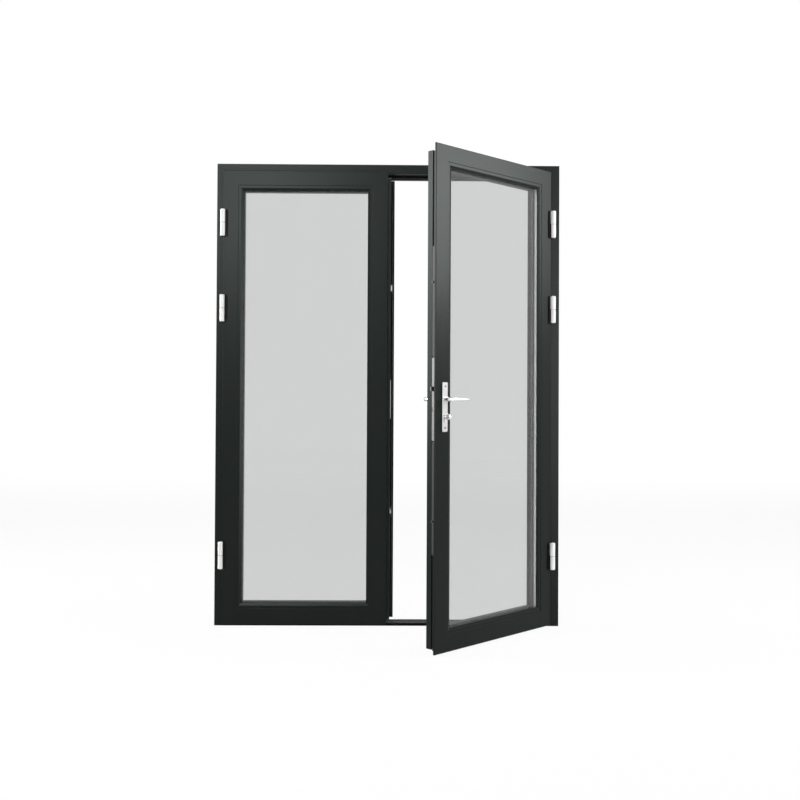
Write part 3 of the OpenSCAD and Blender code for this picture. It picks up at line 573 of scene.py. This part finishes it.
grey_nylon = matt_polymer("grey_nylon", (0.16, 0.16, 0.16), rough=0.45, scale=900.0)
split_gap = 0.001
points = [(math.copysign(pivot.x, low.x), pivot.y, high.z + split_gap / 2)
          for low, high in loose_boxes("hinge_frame_halves", unturned)]
bushes = grow("hinge_bushes", bush_tree(grey_nylon), point_mesh("bush_points", points), {})
new_piece("hinge_bushes", bushes, "frame")

# Astragal: a false post screwed to the edge of the left leaf, closed by moulded caps.
# It carries the steel strike plate, the keeps for the locking cams and the flush bolts.
# The forward faces in its rebate are painted flat black as painted shade.


def rebate_shade_coat(name, shade_behind_y):
    """The leaf's coat, with the forward faces behind the given depth painted flat black as shade in the
    rebate.
    """
    material, flow = new_finish(name)
    depth = along_axis(flow, "ShaderNodeTexCoord", "Object", "Y")
    rearward = along_axis(flow, "ShaderNodeNewGeometry", "Normal", "Y")
    forward = flow.math("MAXIMUM", -1.0 * rearward, 0.0)
    # Painted shade: forward faces deeper than the given depth get the flat black.
    share = flow.math("GREATER_THAN", depth, shade_behind_y) * forward
    skin = powder_skin(flow, leaf_pale, leaf_deep, leaf_gloss)
    flat = flow.node("ShaderNodeBsdfPrincipled", {}, {
        "Base Color": (0.0015, 0.0015, 0.0015, 1), "Roughness": 0.7, "Specular IOR Level": 0.02})
    show(flow, flow.node("ShaderNodeMixShader", {}, {0: share, 1: skin, 2: flat}))
    return material


def glinting_zinc(name, heights, half_length):
    """Black zinc with a painted highlight: a brighter metal band near the given heights."""
    material, flow = new_finish(name)
    lines = grain(flow, 900.0, detail=3.0, stretch=(1, 1, 0.05))
    rise = along_axis(flow, "ShaderNodeTexCoord", "Object", "Z")
    away = 1.0
    for height in heights:
        away = flow.math("MINIMUM", flow.math("ABSOLUTE", rise - height, 0.0), away)
    painted_glint = flow.node("ShaderNodeMapRange", {}, {
        "Value": away, "From Min": half_length, "From Max": 0.6 * half_length})
    colour = blend_colours(flow, painted_glint, (0.03, 0.03, 0.032, 1), (0.46, 0.46, 0.45, 1))
    show(flow, flow.node("ShaderNodeBsdfPrincipled", {}, {
        "Base Color": colour, "Metallic": 1.0, "Roughness": 0.34 + 0.12 * lines,
        "Normal": bumped(flow, lines, strength=0.1)}))
    return material


brushed_steel = bare_metal("brushed_steel", (0.66, 0.66, 0.65), rough=0.26,
                           stretch=(1, 1, 0.03), scale=1200.0, strength=0.1)
black_zinc = bare_metal("black_zinc", (0.060, 0.060, 0.063), rough=0.46,
                        stretch=(1, 1, 0.05), scale=900.0, strength=0.1)
rebate_front = 0.0
glint_above = 0.006
glint_half = 0.016
# The cam keeps carry a painted highlight: a brighter band just above the middle of each keep.
glint_heights = [(low.z + high.z) / 2 + glint_above for low, high in loose_boxes("cam_keeps", unturned)]
dress(rebate_shade_coat("rebate_shade_coat", rebate_front), "astragal")
dress(black_plastic, "astragal_end_caps")
dress(glinting_zinc("glinting_zinc", glint_heights, glint_half), "cam_keeps")
dress(black_zinc, "flush_bolt_keeps", "top_flush_bolt", "bottom_flush_bolt")
dress(brushed_steel, "strike_plate")

# Lock: a steel case let into the edge of the right leaf behind a long faceplate.
# Its latch, deadbolt and two black rods with cams close on the astragal.
dull_steel = bare_metal("dull_steel", (0.21, 0.21, 0.208), rough=0.48,
                        stretch=(1, 1, 0.03), scale=1200.0, strength=0.1)
dress(dull_steel, "lock_faceplate", "lock_case", "latch_bolt", "deadbolt")
dress(bright_steel, "lock_cylinder", "lever_spindle")
dress(black_zinc, "upper_rod", "lower_rod")

# Handle: two satin silver levers on one spindle, with a thumb turn below the front one.
# The levers are die castings, round at the neck and drawn out to a slim, flattened tip.
satin_silver = bare_metal("satin_silver", (0.80, 0.80, 0.79), rough=0.17,
                          stretch=(1, 1, 1), scale=1500.0, strength=0.05)
cast_silver = bare_metal("cast_silver", (0.80, 0.80, 0.79), rough=0.34,
                         stretch=(1, 1, 1), scale=1500.0, strength=0.05)
dress(cast_silver, "thumbturn")
lever_axis = to_rest.inverted() @ Vector(joints["lever_turn"]["pos_m"])
low, high = closed_box("lever_handles", to_rest)
leaf_low, leaf_high = closed_box("right_meeting_stile", to_rest)
lever_tip = high.x - lever_axis.x
grip_half = (high.z - low.z) / 2
grip_depth = 0.0085
reach = leaf_low.y - low.y - grip_depth
neck_start = 0.001
neck_r = 0.009
bend_r = 0.014
root_half_t = 0.0075
tip_half_t = 0.0035
tip_tall_share = 0.38
taper_power = 1.3
tip_lean = 0.004
tip_round_from = 0.94
least_half = 2e-4
neck_steps = 4
bend_steps = 8
grip_steps = 24
ring_points = 28


def lever_rings():
    """Centre, direction and half sizes of the sections from neck to tip, in the lever's plane."""
    outward = Vector((0, -1, 0))
    straight = reach - bend_r
    rings = [(Vector((0, -neck_start, 0)), outward, neck_r, neck_r)]
    for i in range(1, neck_steps + 1):
        rings.append((Vector((0, -straight * i / neck_steps, 0)), outward, neck_r, neck_r))
    for i in range(1, bend_steps + 1):
        share = i / bend_steps
        angle = math.radians(90 * share)
        centre = Vector((bend_r * (1 - math.cos(angle)), -straight - bend_r * math.sin(angle), 0))
        along = Vector((math.sin(angle), -math.cos(angle), 0))
        thick = neck_r + share * (root_half_t - neck_r)
        tall = neck_r + share * (grip_half - neck_r)
        rings.append((centre, along, thick, tall))
    for i in range(1, grip_steps + 1):
        share = i / grip_steps
        centre = Vector((bend_r + share * (lever_tip - bend_r), -reach + tip_lean * share * share, 0))
        past = max(0.0, (share - tip_round_from) / (1 - tip_round_from))
        round_off = math.sqrt(max(0.0, 1 - past * past))
        thick = (root_half_t + (tip_half_t - root_half_t) * share) * round_off
        tall = grip_half * (1 + (tip_tall_share - 1) * share ** taper_power) * round_off
        rings.append((centre, Vector((1, 0, 0)), max(thick, least_half), max(tall, least_half)))
    return rings


def lever_shape(shape, place):
    """Lofts one lever into a mesh through its rings."""
    up = Vector((0, 0, 1))
    loops = []
    for centre, along, thick, tall in lever_rings():
        across = along.cross(up)
        loop = []
        for k in range(ring_points):
            angle = 2 * math.pi * k / ring_points
            point = centre + across * (thick * math.cos(angle)) + up * (tall * math.sin(angle))
            loop.append(shape.verts.new(place @ point))
        loops.append(loop)
    for a, b in zip(loops, loops[1:]):
        for k in range(ring_points):
            n = (k + 1) % ring_points
            shape.faces.new((a[k], a[n], b[n], b[k]))
    shape.faces.new(loops[0])
    shape.faces.new(loops[-1])


shape = bmesh.new()
front_place = Matrix.Translation((lever_axis.x, leaf_low.y, lever_axis.z))
rear_place = Matrix.Translation((lever_axis.x, leaf_high.y, lever_axis.z))
mirrored = Matrix.Scale(-1, 4, (0, 1, 0))
for place in (front_place, rear_place @ mirrored):
    lever_shape(shape, to_rest @ place)
bmesh.ops.recalc_face_normals(shape, faces=shape.faces)
for face in shape.faces:
    face.smooth = len(face.verts) == 4
lever_mesh = bpy.data.meshes.new("levers")
shape.to_mesh(lever_mesh)
shape.free()
lever_mesh.materials.append(satin_silver)
levers = new_piece("levers", lever_mesh, "handle")
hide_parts("lever_handles")

# Backplates: pressed plates with small corner radii and a softly turned edge, one on each face.
# They are pierced for the lever's neck and the lock cylinder, and two screws clamp them to the stile.
plate_silver = bare_metal("plate_silver", (0.67, 0.67, 0.66), rough=0.17,
                          stretch=(1, 1, 1), scale=1500.0, strength=0.05)
plate_corner = 0.005
plate_edge = 0.0015
plate_gap = 0.0004
fin_half = 0.005
corner_steps = 8
arc_steps = 24


def arc(x, z, radius, first, last, steps):
    """Points on an arc in the plate's plane, with its ends in degrees."""
    angles = [math.radians(first + (last - first) * i / steps) for i in range(steps + 1)]
    return [(x + radius * math.cos(a), z + radius * math.sin(a)) for a in angles]


def plate_loop(half_w, half_h, radius):
    """Outline of a plate round its middle, with a quarter arc at each corner."""
    points = []
    for quarter, (across, up) in enumerate(((1, 1), (-1, 1), (-1, -1), (1, -1))):
        points += arc(across * (half_w - radius), up * (half_h - radius), radius,
                      90 * quarter, 90 * quarter + 90, corner_steps)
    return points


def add_loop(shape, points, y):
    """A closed ring of edges at one depth."""
    ring = [shape.verts.new((x, y, z)) for x, z in points]
    return ring, [shape.edges.new((a, b)) for a, b in zip(ring, ring[1:] + ring[:1])]


def add_wall(shape, first, second):
    """Quads between two rings of as many points."""
    for k in range(len(first)):
        n = (k + 1) % len(first)
        shape.faces.new((first[k], first[n], second[n], second[k]))


def backplate(shape, box, outer_y, seat_y, holes):
    """One pierced plate, its outer edge turned towards the leaf."""
    low, high = box
    middle_x, middle_z = (low.x + high.x) / 2, (low.z + high.z) / 2
    half_w, half_h = (high.x - low.x) / 2, (high.z - low.z) / 2
    inward = math.copysign(plate_edge, seat_y - outer_y)
    rims = []
    for inset, y in ((plate_edge, outer_y), (0.0, outer_y + inward), (0.0, seat_y)):
        loop = plate_loop(half_w - inset, half_h - inset, plate_corner - 0.5 * inset)
        rims.append(add_loop(shape, [(middle_x + x, middle_z + z) for x, z in loop], y))
    face_edges, seat_edges = list(rims[0][1]), list(rims[2][1])
    for hole in holes:
        outer, outer_edges = add_loop(shape, hole, outer_y)
        inner, inner_edges = add_loop(shape, hole, seat_y)
        face_edges += outer_edges
        seat_edges += inner_edges
        add_wall(shape, outer, inner)
    add_wall(shape, rims[0][0], rims[1][0])
    add_wall(shape, rims[1][0], rims[2][0])
    for edges in (face_edges, seat_edges):
        bmesh.ops.triangle_fill(shape, use_beauty=True, use_dissolve=False, edges=edges)


barrel_low, barrel_high = closed_box("lock_cylinder", to_rest)
barrel_r = (barrel_high.x - barrel_low.x) / 2 + plate_gap
barrel_x = (barrel_high.x + barrel_low.x) / 2
barrel_z = barrel_high.z + plate_gap - barrel_r
fin_r = fin_half + plate_gap
shoulder = math.degrees(math.acos(fin_r / barrel_r))
last_step = 360 - 360 / arc_steps
neck_hole = arc(lever_axis.x, lever_axis.z, neck_r + plate_gap, 0, last_step, arc_steps - 1)
cylinder_hole = (arc(barrel_x, barrel_z, barrel_r, -shoulder, 180 + shoulder, arc_steps)
                 + arc(barrel_x, barrel_low.z - plate_gap + fin_r, fin_r, 180, 360, corner_steps))
shape = bmesh.new()
for low, high in loose_boxes("handle_backplates", to_rest):
    in_front = low.y < leaf_low.y
    outer_y, seat_y = (low.y, high.y) if in_front else (high.y, low.y)
    backplate(shape, (low, high), outer_y, seat_y, (neck_hole, cylinder_hole))
bmesh.ops.recalc_face_normals(shape, faces=shape.faces)
plate_mesh = bpy.data.meshes.new("backplates")
shape.to_mesh(plate_mesh)
shape.free()
plate_mesh.transform(to_rest)
plate_mesh.materials.append(plate_silver)
backplates = new_piece("backplates", plate_mesh, "right_leaf")
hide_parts("handle_backplates")

# Screws: cross-headed, in the faceplate, the strike plate, the keeps and the backplates.
# Each head is turned steel with a pressed cross, sunk or seated on its plate.


def screw_tree(material):
    """Flat round heads on points, each with a cross cut in the face that the point names."""
    tree, start, end = new_tree("cross_screws", {
        "Head Radius": 0.0036, "Head Height": 0.0012, "Cross": 0.0009, "Cross Share": 1.3})
    head = add_node(tree, "GeometryNodeMeshCylinder", {}, {
        "Vertices": 24, "Radius": start.outputs["Head Radius"], "Depth": start.outputs["Head Height"]})
    long_side = add_node(tree, "ShaderNodeMath", {"operation": "MULTIPLY"}, {
        0: start.outputs["Head Radius"], 1: start.outputs["Cross Share"]})
    lifted = add_node(tree, "ShaderNodeMath", {"operation": "MULTIPLY"}, {
        0: start.outputs["Head Height"], 1: 0.5})
    up = add_node(tree, "ShaderNodeCombineXYZ", {}, {"Z": lifted.outputs[0]})
    cutters = []
    for first, second in (("X", "Y"), ("Y", "X")):
        size = add_node(tree, "ShaderNodeCombineXYZ", {}, {
            first: long_side.outputs[0], second: start.outputs["Cross"], "Z": start.outputs["Head Height"]})
        bar = add_node(tree, "GeometryNodeMeshCube", {}, {"Size": size.outputs[0]})
        cutters.append(add_node(tree, "GeometryNodeTransform", {}, {
            "Geometry": bar.outputs["Mesh"], "Translation": up.outputs[0]}))
    cut = add_node(tree, "GeometryNodeMeshBoolean", {"operation": "DIFFERENCE"}, {
        "Mesh 1": head.outputs["Mesh"]})
    for cutter in cutters:
        tree.links.new(cutter.outputs[0], cut.inputs["Mesh 2"])
    facing = add_node(tree, "GeometryNodeInputNamedAttribute", {"data_type": "FLOAT_VECTOR"}, {
        "Name": "facing"})
    turned = add_node(tree, "FunctionNodeAlignRotationToVector", {"axis": "Z"}, {
        "Vector": facing.outputs[0]})
    placed = add_node(tree, "GeometryNodeInstanceOnPoints", {}, {
        "Points": start.outputs["Geometry"], "Instance": cut.outputs["Mesh"],
        "Rotation": turned.outputs[0]})
    close_tree(tree, end, placed.outputs[0], material)
    return tree


screw_steel = bare_metal("screw_steel", (0.24, 0.24, 0.238), rough=0.46,
                         stretch=(1, 1, 1), scale=900.0, strength=0.08)
screws = screw_tree(screw_steel)


def screw_set(name, places, facing, turn, body, sizes):
    """One mesh of screw heads at the given places, all facing one way on the closed leaf."""
    base = point_mesh(name + "_points", places)
    ways = base.attributes.new("facing", "FLOAT_VECTOR", "POINT")
    for item in ways.data:
        item.vector = facing
    mesh = grow(name, screws, base, sizes)
    mesh.transform(turn)
    return new_piece(name, mesh, body)


def plate_ends(x, low, high):
    """Points near the ends of an upright plate, in the middle of its width."""
    y = (low.y + high.y) / 2
    return [(x, y, low.z + screw_inset), (x, y, high.z - screw_inset)]


screw_inset = 0.012
sunk = 0.0002
sunk_head = {"Head Radius": 0.0034}
low, high = closed_box("lock_faceplate", to_rest)
places = plate_ends(low.x + sunk, low, high)
screw_set("faceplate_screws", places, (-1, 0, 0), to_rest, "right_leaf", sunk_head)

places = []
plate_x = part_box("strike_plate")[1].x - sunk
for node in ("strike_plate", "cam_keeps"):
    for low, high in loose_boxes(node, unturned):
        places += plate_ends(plate_x, low, high)
screw_set("strike_screws", places, (1, 0, 0), unturned, "left_leaf", sunk_head)

raised_h = 0.0016
raised_head = {"Head Radius": 0.0044, "Head Height": raised_h}
places = {"front": [], "rear": []}
for low, high in loose_boxes("backplate_screws", to_rest):
    row, y = ("front", low.y + raised_h / 2) if low.y < leaf_low.y else ("rear", high.y - raised_h / 2)
    places[row].append(((low.x + high.x) / 2, y, (low.z + high.z) / 2))
front_heads = screw_set("backplate_screws_front", places["front"], (0, -1, 0), to_rest, "right_leaf",
                        raised_head)
screw_set("backplate_screws_rear", places["rear"], (0, 1, 0), to_rest, "right_leaf", raised_head)
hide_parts("backplate_screws")

# Studio: a pale floor that runs up into a backdrop, lit by soft boxes and one weak lamp above.
# The background is white to the camera and in reflections; the floor keeps a faint shadow.


def seen_rays(flow):
    """1 for what the camera sees, straight, in gloss or through glass, and 0 for other light."""
    seen = flow.node("ShaderNodeLightPath", output="Is Camera Ray")
    in_gloss = flow.node("ShaderNodeLightPath", output="Is Glossy Ray")
    through = flow.node("ShaderNodeLightPath", output="Is Transmission Ray")
    return flow.math("MINIMUM", seen + in_gloss + through, 1.0)


def pale_stage(name, floor_share, rise_share):
    """White that keeps a part of the shadow on the floor, and less of it up the backdrop."""
    material, flow = new_finish(name)
    speckle = grain(flow, 60.0)
    colour = blend_colours(flow, speckle, (0.82, 0.82, 0.82, 1), (0.86, 0.86, 0.86, 1))
    matt = flow.node("ShaderNodeBsdfDiffuse", {}, {"Color": colour})
    white = flow.node("ShaderNodeEmission", {}, {"Color": (1, 1, 1, 1), "Strength": 1.0})
    rise = along_axis(flow, "ShaderNodeTexCoord", "Object", "Z")
    share = seen_rays(flow) * flow.math("MINIMUM", floor_share + rise_share * rise, 1.0)
    show(flow, flow.node("ShaderNodeMixShader", {}, {0: share, 1: matt, 2: white}))
    return material


stage_w = 24.0
stage_front = -14.0
stage_back = 6.0
wall_h = 9.0
curve_r = 2.0
curve_steps = 12
floor_drop = 0.0005
floor_share = 0.92
rise_share = 0.3
profile = [(stage_front, 0.0)]
for i in range(curve_steps + 1):
    angle = math.radians(90 * i / curve_steps)
    profile.append((stage_back - curve_r + curve_r * math.sin(angle), curve_r - curve_r * math.cos(angle)))
profile.append((stage_back, wall_h))
stage_points = [(x, y, z - floor_drop) for y, z in profile for x in (-stage_w / 2, stage_w / 2)]
stage_faces = [(2 * i, 2 * i + 1, 2 * i + 3, 2 * i + 2) for i in range(len(profile) - 1)]
stage_mesh = bpy.data.meshes.new("floor")
stage_mesh.from_pydata(stage_points, [], stage_faces)
stage_mesh.materials.append(pale_stage("pale_stage", floor_share, rise_share))
for polygon in stage_mesh.polygons:
    polygon.use_smooth = True
floor = bpy.data.objects.new("floor", stage_mesh)
bpy.context.scene.collection.objects.link(floor)

world = bpy.data.worlds.new("studio")
world.use_nodes = True
world.node_tree.nodes.clear()
sky = Flow(world.node_tree)
height = along_axis(sky, "ShaderNodeTexCoord", "Generated", "Z")
ramp = sky.node("ShaderNodeValToRGB", {"stops": [
    (0.0, (0.30, 0.30, 0.30, 1)), (0.5, (0.42, 0.42, 0.42, 1)), (1.0, (0.80, 0.80, 0.80, 1))]},
    {0: 0.5 + 0.5 * height})
sky_light = sky.node("ShaderNodeBackground", {}, {"Color": ramp, "Strength": 0.42})
sky_white = sky.node("ShaderNodeBackground", {}, {"Color": (1, 1, 1, 1), "Strength": 1.0})
sky_end = world.node_tree.nodes.new("ShaderNodeOutputWorld")
sky_mix = sky.node("ShaderNodeMixShader", {}, {0: seen_rays(sky), 1: sky_light, 2: sky_white})
world.node_tree.links.new(sky_mix.socket, sky_end.inputs["Surface"])
bpy.context.scene.world = world


def soft_box(name, place, aim, size, strength, gloss_only=False):
    """A glowing panel that smooth panes don't show; one for gloss only adds no other light."""
    material, flow = new_finish(name)
    sharp = flow.node("ShaderNodeLightPath", output="Is Singular Ray")
    glow = flow.node("ShaderNodeEmission", {}, {"Color": (1, 1, 1, 1), "Strength": strength})
    unseen = flow.node("ShaderNodeBsdfTransparent")
    show(flow, flow.node("ShaderNodeMixShader", {}, {0: sharp, 1: glow, 2: unseen}))
    half_w, half_h = size[0] / 2, size[1] / 2
    turn = (Vector(aim) - Vector(place)).to_track_quat("-Z", "Y").to_matrix().to_4x4()
    stand = Matrix.Translation(place) @ turn
    flat = [(-half_w, -half_h, 0), (-half_w, half_h, 0), (half_w, half_h, 0), (half_w, -half_h, 0)]
    mesh = bpy.data.meshes.new(name)
    mesh.from_pydata([tuple(stand @ Vector(corner)) for corner in flat], [], [(0, 1, 2, 3)])
    mesh.materials.append(material)
    panel = bpy.data.objects.new(name, mesh)
    panel.visible_camera = False
    panel.visible_shadow = False
    panel.visible_diffuse = not gloss_only
    panel.visible_transmission = False
    bpy.context.scene.collection.objects.link(panel)


soft_box("right_box", place=(4.2, -0.85, 2.75), aim=(0.4, -0.3, 1.9), size=(1.85, 1.7), strength=15.5)
soft_box("left_box", place=(-4.2, 0.1, 2.9), aim=(0.2, -0.4, 1.9), size=(2.0, 1.7), strength=15.5)
soft_box("front_box", place=(-1.5, -5.0, 3.0), aim=(-0.6, 0, 2.0), size=(1.6, 1.5), strength=15.5)
soft_box("bead_box", place=(2.65, -4.9, 1.55), aim=(0.2, 0, 1.5),
         size=(1.6, 2.9), strength=14.0, gloss_only=True)
soft_box("edge_box", place=(-4.2, -0.35, 1.4), aim=(0.2, -0.5, 1.2),
         size=(1.4, 1.1), strength=9.0, gloss_only=True)
top_lamp = bpy.data.lights.new("top_lamp", "AREA")
top_lamp.shape = "RECTANGLE"
top_lamp.size, top_lamp.size_y = 3.0, 2.0
top_lamp.energy = 12.0
top_light = bpy.data.objects.new("top_lamp", top_lamp)
top_light.location = (0.6, -3.2, 5.2)
downward = Vector((0, 0, (cad_low.z + cad_high.z) / 2)) - top_light.location
top_light.rotation_euler = downward.to_track_quat("-Z", "Y").to_euler()
bpy.context.scene.collection.objects.link(top_light)

# Camera: it stands before the frame at half its height and looks nearly square at it.
# Its lens, place, shift and small turns were fitted to the corners of the frame and of the open leaf.
camera = bpy.data.cameras.new("camera")
camera.lens = 43.556
camera.sensor_width = 36.0
camera.shift_x = -0.0138
camera.shift_y = -0.0245
eye = bpy.data.objects.new("camera", camera)
eye_place = (0.0637, -4.5574, 1.0798)
yaw, pitch, roll = (math.radians(a) for a in (-0.575, 0.784, -0.267))
eye.matrix_world = (Matrix.Translation(eye_place) @ Matrix.Rotation(yaw, 4, "Z")
                    @ Matrix.Rotation(pitch, 4, "X") @ Matrix.Rotation(roll, 4, "Y")
                    @ Matrix.Rotation(math.radians(90), 4, "X"))
bpy.context.scene.collection.objects.link(eye)
bpy.context.scene.camera = eye
bpy.context.scene.view_settings.view_transform = "Standard"
